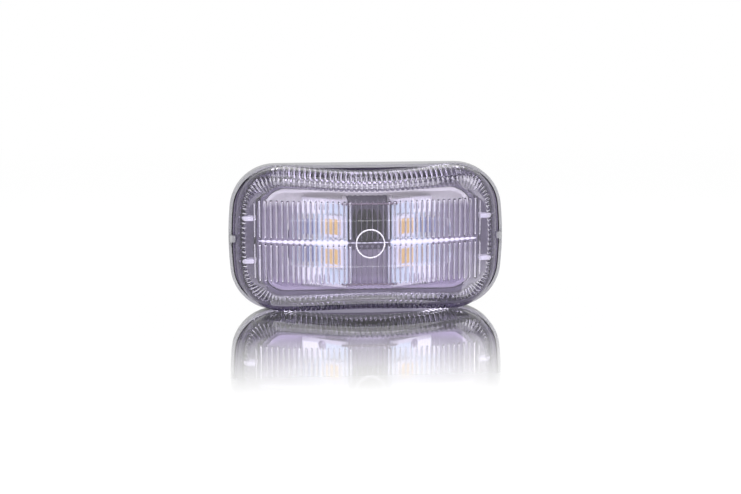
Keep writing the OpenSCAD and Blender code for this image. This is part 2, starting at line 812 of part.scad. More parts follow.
module lens_moulding() {
    difference() {
        union() {
            difference() {
                union() {
                    lens_outside();
                    intersection() {
                        raised_pad();
                        between(lens_rear_d, lens_front_d + through)
                            filled(lens_outline);
                    }
                    plain_ring();
                }
                intersection() {
                    fluted_hollow();
                    smooth_hollow();
                }
            }
            for (i = [-flutes_each_side:flutes_each_side], row = [-1, 1])
                front_flute(i * front_flute_pitch, row * flute_row_z);
            intersection() {
                lens_outside();
                each_quarter()
                    gusset();
            }
        }
        release_slot();
        mirror([0, 0, 1])
            release_slot();
        hook_notch();
        mirror([1, 0, 0])
            hook_notch();
    }
}

// The tabs stand in the slots, so they are added after the slots are cut
module lens_cover() {
    color([0.85, 0.83, 0.95, 0.35]) {
        lens_moulding();
        each_quarter()
            locating_tab();
    }
}

mounting_gasket();
mounting_bracket();
rear_housing();
housing_seal();
cable_grommet();
reflector();
led_board("left");  // led_board_left
led_board("right");  // led_board_right
led_body("left", led_spacing / 2);  // led_body_left_upper
led_body("left", -led_spacing / 2);  // led_body_left_lower
led_body("right", led_spacing / 2);  // led_body_right_upper
led_body("right", -led_spacing / 2);  // led_body_right_lower
led_gel("left", led_spacing / 2);  // led_gel_left_upper
led_gel("left", -led_spacing / 2);  // led_gel_left_lower
led_gel("right", led_spacing / 2);  // led_gel_right_upper
led_gel("right", -led_spacing / 2);  // led_gel_right_lower
led_leads();
resistor_body("left", resistor_spacing / 2);  // resistor_left_upper
resistor_body("left", -resistor_spacing / 2);  // resistor_left_lower
resistor_body("right", resistor_spacing / 2);  // resistor_right_upper
resistor_caps();
protection_diode();
filter_capacitor();
link_wire(board_mid_z + wire_reach);  // link_wire_upper
link_wire(board_mid_z - wire_reach);  // link_wire_lower
supply_terminals();
lens_cover();
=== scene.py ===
"""Looks of a compact LED marker lamp: a fluted clear lens on a grey bracket, with its finishes and its studio."""

import math

import bmesh
import bpy
import numpy as np
from bpy.props import FloatProperty, FloatVectorProperty, IntProperty, PointerProperty
from mathutils import Matrix, Vector


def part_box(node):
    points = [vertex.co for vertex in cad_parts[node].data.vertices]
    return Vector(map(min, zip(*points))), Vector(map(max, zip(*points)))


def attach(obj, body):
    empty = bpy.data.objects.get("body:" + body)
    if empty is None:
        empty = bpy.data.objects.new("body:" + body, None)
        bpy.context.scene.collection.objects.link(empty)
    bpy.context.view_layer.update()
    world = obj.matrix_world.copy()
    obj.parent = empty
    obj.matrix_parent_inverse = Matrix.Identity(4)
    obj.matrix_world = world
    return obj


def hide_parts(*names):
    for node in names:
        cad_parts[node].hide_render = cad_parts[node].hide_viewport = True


bl_info = {
    "name": "Marker lamp",
    "version": (1, 0, 0),
    "blender": (4, 5, 0),
    "location": "3D View > Sidebar > Lamp",
    "description": "Builds the lens, the finishes and the studio of a compact LED marker lamp",
    "category": "Object",
}

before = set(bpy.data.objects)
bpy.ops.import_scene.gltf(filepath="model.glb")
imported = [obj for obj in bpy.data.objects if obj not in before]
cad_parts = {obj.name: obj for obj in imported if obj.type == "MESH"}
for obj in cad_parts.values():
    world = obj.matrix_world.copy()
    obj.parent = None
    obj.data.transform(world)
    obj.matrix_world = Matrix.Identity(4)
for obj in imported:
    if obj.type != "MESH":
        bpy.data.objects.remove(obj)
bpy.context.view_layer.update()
MM = 0.001
WHITE = (1.0, 1.0, 1.0, 1.0)

# The lens's box from the solids, in millimetres. Depths run forwards from the rear face.
lens_low, lens_high = (np.array(corner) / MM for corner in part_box("lens_cover"))

# Small sizes of the lens in millimetres
RING_RISE = 0.24
RING_RADIUS = 3.3
OUTLINE_STEP = 0.15
CORNER_ROUND = 2.0
FLUTE_RUNOUT = 0.35
CHANNEL_HALF = 4.0
CHANNEL_SHARE = 0.4
PAD_HALF_W, PAD_HALF_H, PAD_CORNER, PAD_RISE, PAD_SLOPE = 19.2, 5.4, 1.5, 0.12, 0.2
LINE_END, LINE_TURN, LINE_REACH, LINE_NARROW = 25.6, 5.0, 20.2, 0.12
LINE_POINTS, LINE_SIDES = 300, 12
TAB_X, TAB_Z, TAB_HALF_W, TAB_HALF_T, TAB_SUNK = 9.4, 15.6, 1.3, 0.5, 0.05
DOUBLES = 0.00001


class LensSettings(bpy.types.PropertyGroup):
    """Sizes of the lens"""

    corner: FloatProperty(name="Corner", description="Corner radius of the outline", default=10.5, min=8, max=13)
    bow: FloatProperty(name="End bow", description="Radius of each bowed end", default=75.0, min=50, max=200)
    wall: FloatProperty(name="Wall", description="Thickness of the wall", default=2.0, min=1.5, max=2.5)
    arch: FloatProperty(name="Arch", description="Radius of the arched front", default=62.0, min=50, max=120)
    edge: FloatProperty(name="Edge", description="Radius of the rounded edge outside", default=4.5, min=3, max=6)
    inner_edge: FloatProperty(name="Inner edge", description="Radius of the edge inside", default=2.2, min=0.8, max=4)
    draft: FloatProperty(name="Draft", description="Slant of the walls outside in degrees", default=3.0, min=1, max=8)
    slant: FloatProperty(name="Slant", description="Slant of the ribbed walls in degrees", default=6.0, min=4, max=15)
    waist: FloatProperty(name="Waist", description="How far the long sides bow inwards", default=0.65, min=0, max=1)
    slot_length: FloatProperty(
        name="Slot length", description="Length of each release slot", default=40.0, min=30, max=42
    )
    slot_rise: FloatProperty(name="Slot rise", description="Height of each release slot", default=3.6, min=2, max=5)
    pitch: FloatProperty(name="Flute pitch", description="Pitch of the upright flutes", default=1.3, min=1, max=2)
    flute: FloatProperty(
        name="Flute radius", description="Radius of each flute's hollow", default=0.69, min=0.66, max=1.2
    )
    rise: FloatProperty(
        name="Ridge rise", description="Height of the ridges between the flutes", default=0.45, min=0.1, max=0.5
    )
    field: FloatProperty(
        name="Fluted field", description="Height of both rows of flutes", default=19.6, min=15, max=20
    )
    gap: FloatProperty(name="Break", description="Plain break between the two rows", default=1.2, min=0.6, max=2)
    rib_pitch: FloatProperty(name="Rib pitch", description="Pitch of the wall's ribs", default=1.2, min=1, max=1.6)
    rib_rise: FloatProperty(
        name="Rib rise", description="How far each rib stands proud", default=0.34, min=0.1, max=0.6
    )
    gusset_spacing: FloatProperty(
        name="Gusset spacing", description="Distance between an end's gussets", default=10.2, min=8, max=13
    )
    gusset_length: FloatProperty(
        name="Gusset length", description="Reach of each gusset inwards", default=2.9, min=2, max=3.5
    )
    columns: IntProperty(name="Columns", description="Grid columns across each flute", default=14, min=6, max=16)


class FinishSettings(bpy.types.PropertyGroup):
    """Colours of the finishes"""

    lens: FloatVectorProperty(name="Lens", description="Clear lens", subtype="COLOR", default=(0.93, 0.92, 0.96))
    bracket: FloatVectorProperty(name="Bracket", description="Plastic", subtype="COLOR", default=(0.26, 0.26, 0.27))
    housing: FloatVectorProperty(name="Housing", description="Plastic", subtype="COLOR", default=(0.10, 0.085, 0.13))
    reflector: FloatVectorProperty(
        name="Reflector", description="Plastic", subtype="COLOR", default=(0.28, 0.25, 0.325)
    )
    board: FloatVectorProperty(name="Board", description="Solder mask", subtype="COLOR", default=(0.61, 0.71, 0.77))
    phosphor: FloatVectorProperty(name="Phosphor", description="Windows", subtype="COLOR", default=(0.72, 0.50, 0.18))
    resistor: FloatVectorProperty(name="Resistor", description="Lacquer", subtype="COLOR", default=(0.17, 0.19, 0.33))


class StageSettings(bpy.types.PropertyGroup):
    """Camera, lights and floor"""

    azimuth: FloatProperty(name="Azimuth", description="Camera's turn about the lamp in degrees", default=-4.83)
    elevation: FloatProperty(name="Elevation", description="Camera's height in degrees", default=8.78)
    roll: FloatProperty(name="Roll", description="Camera's roll in degrees", default=-0.168)
    distance: FloatProperty(name="Distance", description="Camera's distance", default=0.42, unit="LENGTH")
    focal: FloatProperty(name="Focal length", description="Camera's focal length in millimetres", default=85.37)
    aim: FloatVectorProperty(
        name="Aim", description="Point that the camera looks at", default=(0.000777, -0.008, -0.0022), subtype="XYZ"
    )
    ambient: FloatProperty(name="Ambient", description="Strength of the world's light", default=0.55, min=0, max=2)
    mirror: FloatProperty(name="Mirror", description="Floor's reflection at the lamp", default=0.95, min=0, max=1)


# Outlines


def half_outline(width, height, corner, bow, straight_marks):
    """The upper half of the outline, from the middle of the right end over the top to the middle of the left.
    The bow is a circle of radius R about (w/2 - R, 0) and the corner a circle of radius r that meets it, so
    its centre lies (R - r) from the bow's. The curved part has even steps of length, and the straight part has
    its points at the given places along x. Returns x, z, the outward normal, the length and a quarter's length."""
    bow_x, corner_z = width / 2 - bow, height / 2 - corner
    corner_x = bow_x + math.sqrt((bow - corner) ** 2 - corner_z**2)
    turn = math.atan2(corner_z, corner_x - bow_x)
    lengths = np.array([bow * turn, corner * (math.pi / 2 - turn), corner_x])
    total = lengths.sum()
    curved = np.linspace(0, total - corner_x, round((total - corner_x) / OUTLINE_STEP) + 1)
    straight = total - straight_marks[straight_marks < corner_x - 0.02]
    quarter = np.concatenate([curved, np.sort(straight)])
    s = np.concatenate([quarter, 2 * total - quarter[-2::-1]])
    t = np.minimum(s, 2 * total - s)
    angle = np.where(t < lengths[0], t / bow, turn + (t - lengths[0]) / corner)
    angle = np.minimum(angle, math.pi / 2)
    on_bow = t < lengths[0]
    x = np.where(on_bow, bow_x + bow * np.cos(angle), corner_x + corner * np.cos(angle))
    z = np.where(on_bow, bow * np.sin(angle), corner_z + corner * np.sin(angle))
    x = x - np.maximum(t - lengths[0] - lengths[1], 0)
    side = np.where(s > total, -1.0, 1.0)
    return side * x, z, side * np.cos(angle), np.sin(angle), s, total


def flute_marks(pitch, radius, steps, reach):
    """Places along x at which a row of flutes is cut: each flute's centre plus r sin(t), for even steps of t
    between its two cusps, so that its slope turns evenly."""
    limit = math.asin(min(pitch / 2 / radius, 1.0))
    across = radius * np.sin(np.linspace(-limit, limit, steps + 1))
    centres = np.arange(math.ceil(reach / pitch) + 1) * pitch
    marks = (centres[:, None] + across[None, :]).ravel()
    return np.unique(np.round(np.abs(marks), 5))


def whole(upper, sign=1.0):
    """A closed ring from its upper half: the lower half is the upper one in reverse, times sign."""
    return np.concatenate([upper, sign * upper[-2:0:-1]])


def front_grid_indices(count, rows, first):
    """Vertex numbers of a grid whose columns run between a ring's lower and upper points."""
    grid = np.empty((count + 1, rows + 1), int)
    grid[:, rows] = np.arange(count + 1)
    grid[:, 0] = (2 * count - np.arange(count + 1)) % (2 * count)
    grid[0, :] = 0
    grid[count, :] = count
    grid[1:count, 1:rows] = first + np.arange((count - 1) * (rows - 1)).reshape(count - 1, rows - 1)
    return grid


def grid_faces(grid):
    """Faces of a front grid: quads between its columns and triangles at its two ends."""
    body = grid[1:-1]
    quads = np.stack([body[:-1, :-1], body[1:, :-1], body[1:, 1:], body[:-1, 1:]], -1).reshape(-1, 4)
    right = np.stack([np.full(grid.shape[1] - 1, grid[0, 0]), grid[1, :-1], grid[1, 1:]], -1)
    left = np.stack([grid[-2, :-1], np.full(grid.shape[1] - 1, grid[-1, 0]), grid[-2, 1:]], -1)
    return quads.tolist() + right.tolist() + left.tolist()


def ring_faces(first, second, size):
    """Quads between two closed rings of equally many points that start at the given vertex numbers."""
    i = np.arange(size)
    j = (i + 1) % size
    return np.stack([first + i, first + j, second + j, second + i], -1).tolist()


def clean(mesh, doubles=0.0):
    """Joins vertices closer than the given distance and turns each closed shell's faces outwards."""
    work = bmesh.new()
    work.from_mesh(mesh)
    if doubles:
        bmesh.ops.remove_doubles(work, verts=work.verts, dist=doubles)
    bmesh.ops.recalc_face_normals(work, faces=work.faces)
    work.to_mesh(mesh)
    work.free()


def mesh_piece(name, vertices, faces, material, smooth_angle=60.0):
    """A mesh object at the origin from vertices in millimetres, smooth where its faces meet within the angle."""
    mesh = bpy.data.meshes.new(name)
    mesh.from_pydata((np.asarray(vertices) * MM).tolist(), [], faces)
    mesh.validate()
    mesh.polygons.foreach_set("use_smooth", np.ones(len(mesh.polygons), bool))
    piece = bpy.data.objects.new(name, mesh)
    bpy.context.scene.collection.objects.link(piece)
    clean(mesh)
    mesh.set_sharp_from_angle(angle=math.radians(smooth_angle))
    mesh.materials.append(material)
    return piece


# Lens


class LensShape:
    """The lens as functions of a place on its outline. Depths run forwards, so y = -depth."""

    def __init__(self, sizes):
        self.sizes = sizes
        self.width = lens_high[0] - lens_low[0]
        self.height = lens_high[2] - lens_low[2]
        self.rear = -lens_high[1]
        self.crown = -lens_low[1] - RING_RISE
        marks = flute_marks(sizes.pitch, sizes.flute, sizes.columns, self.width / 2)
        outline = half_outline(self.width, self.height, sizes.corner, sizes.bow, marks)
        x, z, normal_x, normal_z, length, self.total = outline
        self.count = len(x) - 1
        self.x, self.z = whole(x), whole(z, -1.0)
        self.normal_x, self.normal_z = whole(normal_x), whole(normal_z, -1.0)
        self.length = whole(length)
        reach = sizes.slot_length / 2
        bowed = np.clip(1 - (self.x / reach) ** 2, 0, None) ** 2
        self.waist = sizes.waist * bowed * np.abs(self.normal_z)

    def front(self, x):
        """Depth of the arched front: crown - A + sqrt(A^2 - x^2)."""
        arch = self.sizes.arch
        return self.crown - arch + np.sqrt(arch**2 - np.clip(x, -arch, arch) ** 2)

    def slot_arc(self, x):
        """Depth of the circle's arc over a release slot of half length l and rise h: its radius is
        (l^2 + h^2) / 2h."""
        half, rise = self.sizes.slot_length / 2, self.sizes.slot_rise
        radius = (half**2 + rise**2) / (2 * rise)
        return self.rear + rise - radius + np.sqrt(radius**2 - np.clip(x, -half, half) ** 2)

    def rear_edge(self):
        """Depth of the rear edge: the arc over each release slot, and flat elsewhere."""
        inside = (np.abs(self.x) < self.sizes.slot_length / 2) & (np.abs(self.normal_z) > 0.9)
        return np.where(inside, np.maximum(self.slot_arc(self.x), self.rear), self.rear)

    def inner_round(self):
        """Radius of the inner edge round: the given one, plus 2 (2 nx nz)^2, so it is largest at the corners."""
        return self.sizes.inner_edge + CORNER_ROUND * (2 * self.normal_x * self.normal_z) ** 2

    def ribs(self):
        """Ribs round the inner wall: rise * |sin(pi * length / pitch)|, with the pitch fitted to a quarter."""
        number = round(self.total / self.sizes.rib_pitch)
        return self.sizes.rib_rise * np.abs(np.sin(math.pi * self.length * number / self.total))

    def dome(self, inset, radius, slant, angles, extra=0.0):
        """Rings of a dome that lies inset behind the outer face, with an edge round of the given radius r:
        inset + r (1 - cos a) inwards and r (1 - sin a) behind the arched front, with the wall's slant. The ribs
        stand proud along the surface's normal and run over the edge, where they die away as 1 - sin(a)^10."""
        slope = math.tan(math.radians(slant))
        front = self.front(self.x) - inset
        round_r = np.minimum(radius, front - self.rear)
        lean = slope * (front - round_r - self.rear)
        rings = []
        for a in angles:
            proud = extra * (1 - math.sin(a) ** 10)
            wall = inset + self.waist + lean + round_r * (1 - math.cos(a)) + proud * math.cos(a)
            x, z = self.x - self.normal_x * wall, self.z - self.normal_z * wall
            depth = self.front(x) - inset - round_r * (1 - math.sin(a)) - proud * math.sin(a)
            rings.append(np.stack([x, -depth, z], -1))
        return rings

    def wall_rings(self, inset, radius, slant, shares, extra=0.0):
        """Rings of the slanted wall between the rear edge and the start of the edge round."""
        slope = math.tan(math.radians(slant))
        front = self.front(self.x) - inset
        round_r = np.minimum(radius, front - self.rear)
        start, end = self.rear_edge(), front - round_r
        end = np.maximum(end, start + 0.01)
        rings = []
        for share in shares:
            depth = start + (end - start) * share
            wall = inset + self.waist + slope * (depth - self.rear) + extra
            rings.append(np.stack([self.x - self.normal_x * wall, -depth, self.z - self.normal_z * wall], -1))
        return rings

    def flutes(self, x, z):
        """How far the inner face stands proud between its upright flutes. Each flute is a hollow of circle radius
        r: rise - (sqrt(r^2 - d^2) - (r - rise)), with d the distance from its axis, so the ridges between two
        flutes stand proud by the rise. They run out towards each row's ends and are shallower over the channel."""
        sizes = self.sizes
        each_side = math.floor((self.width / 2 - sizes.wall - sizes.inner_edge - sizes.pitch) / sizes.pitch)
        offset = x - np.clip(np.round(x / sizes.pitch), -each_side, each_side) * sizes.pitch
        hollow = np.sqrt(np.maximum(sizes.flute**2 - offset**2, 0)) - (sizes.flute - sizes.rise)
        row_height = (sizes.field - sizes.gap) / 2
        past = np.abs(np.abs(z) - (row_height + sizes.gap) / 2) - row_height / 2
        inside = np.clip(-past / FLUTE_RUNOUT, 0, 1) * (np.abs(offset) < sizes.pitch / 2 + 0.01)
        share = CHANNEL_SHARE + (1 - CHANNEL_SHARE) * np.clip((np.abs(x) - CHANNEL_HALF) / 0.8, 0, 1)
        return (sizes.rise - np.maximum(hollow, 0)) * inside * share


def front_points(ring, count, marks, depth):
    """Points of the front between a ring's lower and upper halves, with y = -depth(x, z). Each column has its
    points at the marked heights, drawn together where the column is short."""
    x = ring[1:count, 0]
    top = ring[1:count, 2]
    heights = np.concatenate([-marks[:0:-1], marks])
    z = heights[None, :] * np.minimum(1.0, top / (marks[-1] + 0.5))[:, None]
    x = np.broadcast_to(x[:, None], z.shape)
    return np.stack([x, -depth(x, z), z], -1).reshape(-1, 3)


def pad_rise(x, z):
    """The raised pad: a plateau over a rounded rectangle, with a short slope round it."""
    out_x = np.maximum(np.abs(x) - (PAD_HALF_W - PAD_CORNER), 0)
    out_z = np.maximum(np.abs(z) - (PAD_HALF_H - PAD_CORNER), 0)
    distance = np.hypot(out_x, out_z) - PAD_CORNER
    return PAD_RISE * np.clip(0.5 - distance / PAD_SLOPE, 0, 1)


def lens_shell(shape, material):
    """The closed shell of the lens: the outer dome, the ribbed and fluted inner dome and the rear edge."""
    sizes = shape.sizes
    size = 2 * shape.count
    shares = [0.0, 0.33, 0.66]
    angles = np.linspace(0, math.pi / 2, 9)
    outer = shape.wall_rings(0.0, sizes.edge, sizes.draft, shares)
    outer += shape.dome(0.0, sizes.edge, sizes.draft, angles)
    ribs, inner_round = shape.ribs(), shape.inner_round()
    inner_angles = np.radians([0, 12, 24, 36, 48, 59, 68, 75, 81, 86, 90])
    inner = shape.wall_rings(sizes.wall, inner_round, sizes.slant, shares, ribs)
    inner += shape.dome(sizes.wall, inner_round, sizes.slant, inner_angles, ribs)
    # Heights of the front's points, close together at the pad's slope and at the ends of the rows of flutes
    slope = np.array([-0.12, -0.06, 0, 0.06, 0.12])
    outer_marks = np.concatenate([[0, 2.6, 5.1], PAD_HALF_H + slope, [5.7, 8.0, 10.4]])
    runout = np.array([0, 0.06, 0.14, 0.26, 0.45, 0.7])
    row_low, row_high = sizes.gap / 2, sizes.field / 2
    inner_marks = np.concatenate([[0, 0.3, 0.55], row_low + runout, [3, 5.5, 8], row_high - runout[::-1]])
    outer_front = front_points(outer[-1], shape.count, outer_marks, lambda x, z: shape.front(x) + pad_rise(x, z))
    inner_front = front_points(
        inner[-1], shape.count, inner_marks, lambda x, z: shape.front(x) - sizes.wall - shape.flutes(x, z)
    )
    vertices, faces, firsts, start = [], [], [], 0
    for rings, points, marks in ((outer, outer_front, outer_marks), (inner, inner_front, inner_marks)):
        firsts.append(start)
        for k in range(len(rings) - 1):
            faces += ring_faces(start + k * size, start + (k + 1) * size, size)
        last = start + (len(rings) - 1) * size
        grid = front_grid_indices(shape.count, 2 * len(marks), size)
        faces += grid_faces(grid + last)
        vertices += rings + [points]
        start = last + size + len(points)
    faces += ring_faces(firsts[0], firsts[1], size)
    return mesh_piece("lens_shell", np.concatenate(vertices), faces, material, 28.0)


def tube(rows, columns):
    """Quads of a tube whose points come row by row, with the given number of points in each row."""
    quads = []
    for row in range(rows - 1):
        quads += ring_faces(row * columns, (row + 1) * columns, columns)
    return quads


def ring_bead(shape, material):
    """The plain ring on the pad: a half-round bead that follows the arched front."""
    steps, sides = 96, 14
    half_width, height, sunk = 0.16, 0.15, 0.07
    around = np.linspace(0, 2 * math.pi, steps, endpoint=False)[:, None]
    turn = np.linspace(0, 2 * math.pi, sides, endpoint=False)[None, :]
    radius = RING_RADIUS + half_width * np.cos(turn)
    x, z = np.cos(around) * radius, np.sin(around) * radius
    y = -height * np.sin(turn) - shape.front(x) - sunk
    points = np.stack([x, y, z], -1).reshape(-1, 3)
    faces = tube(steps, sides) + ring_faces((steps - 1) * sides, 0, sides)
    return mesh_piece("lens_ring", points, faces, material)


def break_highlight(shape, material):
    """Painted highlight along the break between the two rows of flutes, in a left and a right half: two flat white
    beads that follow the arched inner face and stand in for the highlights on the flutes' ends. Half of their height
    is (0.28 + 0.55 * share of the way in) * (0.3 + 0.7 |cos(pi x / p)|) with the flutes' pitch p, so they widen
    towards the middle and are broken up by the flutes. Between |x| = 5 and 0 they are narrow."""
    sunk, depth = 0.14, 0.12
    x = np.linspace(0.01, LINE_END, LINE_POINTS)[:, None]
    turn = np.linspace(0, 2 * math.pi, LINE_SIDES, endpoint=False)[None, :]
    way_in = (LINE_END - x) / LINE_REACH
    half = LINE_NARROW + (0.16 + 0.55 * way_in) * np.clip((x - LINE_TURN) / 0.6, 0, 1)
    half = half * (0.3 + 0.7 * np.abs(np.cos(math.pi * x / shape.sizes.pitch)))
    y = shape.sizes.wall + sunk - shape.front(x) - depth * np.cos(turn)
    points = np.stack([np.broadcast_to(x, y.shape), y, half * np.sin(turn)], -1).reshape(-1, 3)
    last = (LINE_POINTS - 1) * LINE_SIDES
    faces = tube(LINE_POINTS, LINE_SIDES) + [list(range(LINE_SIDES)), list(range(last, last + LINE_SIDES))]
    both = np.concatenate([points, points * [-1, 1, 1]])
    faces += [[number + len(points) for number in face] for face in faces]
    return mesh_piece("lens_break_highlight", both, faces, material)


def block(low, high, bevel):
    """A box with rounded edges: the grid of a cube's faces pushed onto a sphere of the bevel's radius."""
    steps = np.array([-1.0, -0.92, -0.75, 0.75, 0.92, 1.0])
    a, b = np.meshgrid(steps, steps, indexing="ij")
    sides = []
    for axis in range(3):
        for sign in (-1.0, 1.0):
            p = np.empty(a.shape + (3,))
            p[..., axis] = sign
            p[..., (axis + 1) % 3] = a
            p[..., (axis + 2) % 3] = b * sign
            sides.append(p)
    cube = np.stack(sides)
    low, high = np.asarray(low, float), np.asarray(high, float)
    half, centre = (high - low) / 2, (high + low) / 2
    core = np.clip(cube, -0.75, 0.75) / 0.75
    out = (cube - np.clip(cube, -0.75, 0.75)) / 0.25
    norm = np.maximum(np.linalg.norm(out, axis=-1, keepdims=True), 1e-9)
    out = out / norm * np.max(np.abs(out), axis=-1, keepdims=True)
    points = centre + core * (half - bevel) + out * bevel
    rows = len(steps)
    n = np.arange(6 * rows * rows).reshape(6, rows, rows)
    quads = np.stack([n[:, :-1, :-1], n[:, 1:, :-1], n[:, 1:, 1:], n[:, :-1, 1:]], -1).reshape(-1, 4)
    return points.reshape(-1, 3), quads


def four_blocks(name, material, make):
    """A piece of four blocks, which make(side, level) gives for each side and level."""
    vertices, faces, start = [], [], 0
    for side in (-1, 1):
        for level in (-1, 1):
            points, quads = make(side, level)
            vertices.append(points)
            faces += (quads + start).tolist()
            start += len(points)
    piece = mesh_piece(name, np.concatenate(vertices), faces, material)
    clean(piece.data, DOUBLES)
    return piece


def lens_tabs(shape, material):
    """The four locating tabs that stand behind the rear edge in the release slots."""

    def tab(side, level):
        x, z = side * TAB_X, level * TAB_Z
        low = [x - TAB_HALF_W, TAB_SUNK - shape.slot_arc(x), z - TAB_HALF_T]
        return block(low, [x + TAB_HALF_W, -shape.rear, z + TAB_HALF_T], 0.15)

    return four_blocks("lens_tabs", material, tab)


def lens_gussets(shape, material):
    """The two thin gussets inside each end wall: blocks whose outer ends lean as the wall does."""
    sizes = shape.sizes
    slope = math.tan(math.radians(sizes.slant))
    wall_x = shape.width / 2 - sizes.wall - sizes.rib_rise - 0.08
    tip_x = shape.width / 2 - sizes.wall - sizes.gusset_length
    front = shape.front(tip_x + 1.0) - sizes.wall - 0.1
    fall = shape.front(tip_x + 1.0) - shape.front(wall_x - 1.0)

    def gusset(side, level):
        z = level * sizes.gusset_spacing / 2
        points, quads = block([tip_x, -front, z - 0.5], [wall_x, -shape.rear - 0.4, z + 0.5], 0.12)
        share = (points[:, 0] - tip_x) / (wall_x - tip_x)
        points[:, 0] -= share * slope * (-points[:, 1] - shape.rear)
        points[:, 1] += share * fall * (points[:, 1] < -front + 1.0)
        points[:, 0] *= side
        return points, quads

    return four_blocks("lens_gussets", material, gusset)


# Finishes


def set_inputs(tree, node, inputs):
    """Sets a node's inputs, each to a value or to another node's output."""
    for key, value in inputs.items():
        if isinstance(value, bpy.types.NodeSocket):
            tree.links.new(value, node.inputs[key])
        else:
            node.inputs[key].default_value = value


def add_node(tree, kind, inputs=None, **settings):
    """Adds a node with its properties and its inputs."""
    node = tree.nodes.new(kind)
    for name, value in settings.items():
        setattr(node, name, value)
    set_inputs(tree, node, inputs or {})
    return node


def calculate(tree, operation, *values):
    """The output of a Math node whose inputs are numbers or other nodes' outputs."""
    return add_node(tree, "ShaderNodeMath", dict(enumerate(values)), operation=operation).outputs[0]


def mix_colours(tree, factor, first, second, blend="MIX"):
    """The output of a colour mix."""
    inputs = {"Factor": factor, "A": first, "B": second}
    return add_node(tree, "ShaderNodeMix", inputs, data_type="RGBA", blend_type=blend).outputs["Result"]


def piece_place(tree):
    """The place on the piece, whose origin is the part's."""
    return add_node(tree, "ShaderNodeTexCoord").outputs["Object"]


def piece_axes(tree):
    """The place on the piece as outputs X, Y and Z."""
    return add_node(tree, "ShaderNodeSeparateXYZ", {0: piece_place(tree)}).outputs


def node_group(name, inputs, outputs):
    """A new node group with its inputs' defaults, a colour where that is four numbers, and the inputs' outputs."""
    tree = bpy.data.node_groups.new(name, "ShaderNodeTree")
    for label, default in inputs.items():
        kind = "NodeSocketFloat" if isinstance(default, float) else "NodeSocketColor"
        tree.interface.new_socket(name=label, in_out="INPUT", socket_type=kind).default_value = default
    for label, kind in outputs.items():
        tree.interface.new_socket(name=label, in_out="OUTPUT", socket_type=kind)
    return tree, add_node(tree, "NodeGroupInput").outputs


def grey(level):
    """A grey colour with full opacity."""
    return (level, level, level, 1.0)


def moulded_grain():
    """Cloudy tone, a fine grain's relief and a roughness that varies with it."""
    tree, given = node_group(
        "Moulded grain",
        {"Colour": grey(0.5), "Tone": 0.1, "Scale": 900.0, "Roughness": 0.5, "Relief": 0.1},
        {"Colour": "NodeSocketColor", "Roughness": "NodeSocketFloat", "Normal": "NodeSocketVector"},
    )
    place = piece_place(tree)
    cloud = add_node(tree, "ShaderNodeTexNoise", {"Vector": place, "Scale": 140.0, "Detail": 4.0}).outputs["Fac"]
    inputs = {"Vector": place, "Scale": given["Scale"], "Detail": 2.0}
    grain = add_node(tree, "ShaderNodeTexNoise", inputs).outputs["Fac"]
    uneven = calculate(tree, "SUBTRACT", calculate(tree, "ADD", cloud, grain), 1.0)
    lift = calculate(tree, "ADD", calculate(tree, "MULTIPLY", uneven, given["Tone"]), 1.0)
    tone = add_node(tree, "ShaderNodeHueSaturation", {"Color": given["Colour"], "Value": lift})
    bump = add_node(tree, "ShaderNodeBump", {"Distance": 0.0001, "Strength": given["Relief"], "Height": grain})
    results = {
        "Colour": tone.outputs["Color"],
        "Roughness": calculate(tree, "MULTIPLY", given["Roughness"], lift),
        "Normal": bump.outputs["Normal"],
    }
    add_node(tree, "NodeGroupOutput", results)
    return tree


def board_painted_light():
    """Painted reflections: white fields on the outer halves of the boards, above and below the resistors, as a mask
    of the
    place: |x| and |z| both beyond a limit. Painted shade: the boards' upper and lower margins are a darker, greyer
    colour."""
    tree, given = node_group(
        "Board painted light",
        {"Colour": grey(0.5), "White": grey(0.9), "Margin": grey(0.3)},
        {"Colour": "NodeSocketColor"},
    )
    place = piece_axes(tree)
    field_x, field_z, below_centre, margin_shade_z = 0.0103, 0.0062, 0.00055, 0.0094
    beyond_x = calculate(tree, "GREATER_THAN", calculate(tree, "ABSOLUTE", place["X"]), field_x)
    beyond_z = calculate(tree, "GREATER_THAN", calculate(tree, "ABSOLUTE", place["Z"]), field_z)
    height = calculate(tree, "ABSOLUTE", calculate(tree, "ADD", place["Z"], below_centre))
    margin_shade = calculate(tree, "GREATER_THAN", height, margin_shade_z)
    # Painted reflections in white where |x| and |z| are both beyond the limits, and painted shade along the margins.
    painted_reflections = mix_colours(tree, calculate(tree, "MULTIPLY", beyond_x, beyond_z), given["Colour"], given["White"])
    add_node(tree, "NodeGroupOutput", {"Colour": mix_colours(tree, margin_shade, painted_reflections, given["Margin"])})
    return tree


